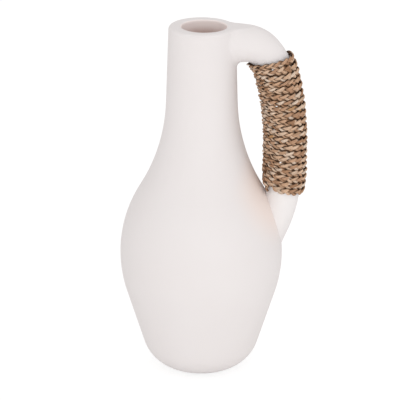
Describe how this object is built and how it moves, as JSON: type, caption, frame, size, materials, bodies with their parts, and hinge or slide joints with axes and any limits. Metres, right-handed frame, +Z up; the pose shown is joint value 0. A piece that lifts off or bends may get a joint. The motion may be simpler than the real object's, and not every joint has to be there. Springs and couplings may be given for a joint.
{
  "type": "lekythos",
  "caption": "Tall one-handled ceramic jug vase of lekythos form: flat foot, swelling belly, slim neck and an arched round handle wound with plaited cord.",
  "frame": {"origin": "centre of the standing ring, on the plane that the foot rests on, on the axis of the body", "axes": "+Z up along the body's axis, +X towards the handle, +Y completes a right-handed frame"},
  "size_m": [0.2038, 0.178, 0.39],
  "materials": {
    "body_glaze": "matte off-white",
    "handle_glaze": "matte off-white",
    "plaited_cord": "dry plaited sea grass",
    "clear_glue": "clear, glossy"
  },
  "bodies": {
    "root": {"vessel_body": "body_glaze", "handle": "handle_glaze", "cord_wrap": "plaited_cord", "glue_bead": "clear_glue"}
  },
  "joints": []
}
